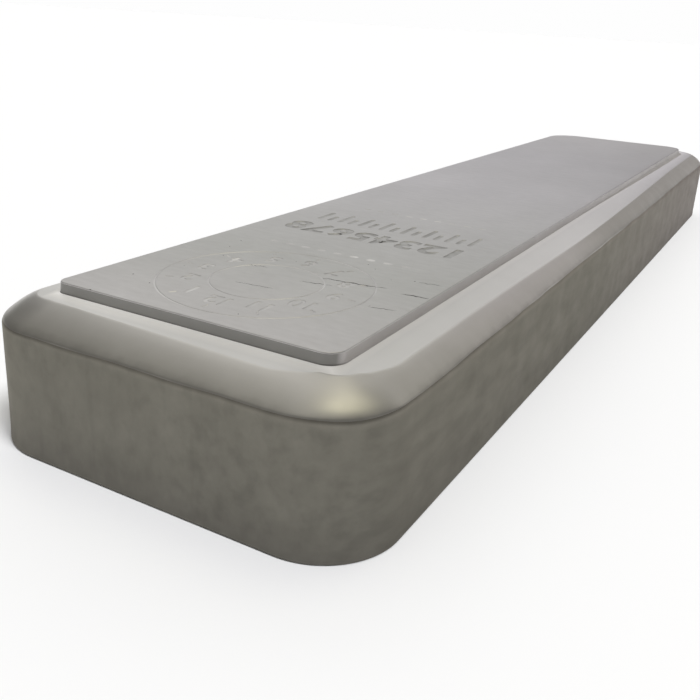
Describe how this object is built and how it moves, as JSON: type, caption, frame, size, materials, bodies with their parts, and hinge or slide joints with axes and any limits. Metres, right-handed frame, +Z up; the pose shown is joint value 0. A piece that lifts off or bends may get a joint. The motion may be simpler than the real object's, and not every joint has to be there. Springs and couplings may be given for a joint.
{
  "type": "silver ingot",
  "caption": "Long cast metal bar with rounded corners, a soft shoulder, a narrow rim and a flat raised panel on top, for stock or bullion.",
  "frame": {"origin": "middle of the base, on the surface that the bar lies on", "axes": "+Z up through the raised panel, +Y along the bar"},
  "size_m": [0.0586, 0.246, 0.0216],
  "materials": {
    "silver": "satin cast silver, duller on the sides"
  },
  "bodies": {
    "root": {"ingot": "silver"}
  },
  "joints": []
}
